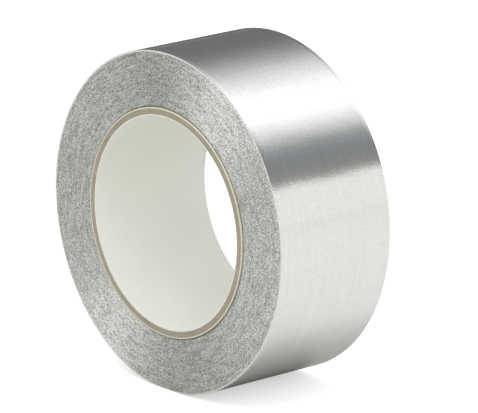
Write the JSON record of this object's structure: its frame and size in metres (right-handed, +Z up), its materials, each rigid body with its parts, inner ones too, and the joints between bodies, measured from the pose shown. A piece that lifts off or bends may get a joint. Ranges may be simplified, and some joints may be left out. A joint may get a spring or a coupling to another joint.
{
  "type": "foil duct tape roll",
  "caption": "Roll of wide aluminium foil duct tape wound on a proud spiral-wound paper core, with a free end that lifts and peels off its release liner.",
  "frame": {"origin": "bottom centre of the standing roll: under the bore's centre, on the surface that the tread stands on", "axes": "+Y along the bore's axis, away from the side face that is nearer in the picture; +Z up; +X towards the tread that shows, away from the free end"},
  "size_m": [0.1222, 0.051, 0.1216],
  "materials": {
    "lining": "matte",
    "board": "matte",
    "cover": "matte",
    "wound_foil": "satin",
    "foil": "satin",
    "liner": "matte"
  },
  "bodies": {
    "roll": {"core_inner_ply": "lining", "core_board_ply_1": "board", "core_board_ply_2": "board", "core_board_ply_3": "board", "core_board_ply_4": "board", "core_outer_ply": "cover", "wound_tape": "wound_foil", "outer_turn_foil": "foil", "outer_turn_liner": "liner"},
    "free_foil": {"tail_foil": "foil"},
    "free_liner": {"tail_liner": "liner"}
  },
  "joints": [
    {"name": "tail_lift", "type": "hinge", "parent": "roll", "child": "free_foil", "pos_m": [-0.0584, 0, 0.07859], "axis": [0, 1, 0], "range_deg": [0, 120]},
    {"name": "liner_peel", "type": "hinge", "parent": "roll", "child": "free_liner", "pos_m": [-0.05832, 0, 0.07856], "axis": [0, 1, 0], "range_deg": [0, 54]}
  ],
  "couplings": [
    {"joint": "liner_peel", "follows": "tail_lift", "ratio": 0.45}
  ]
}
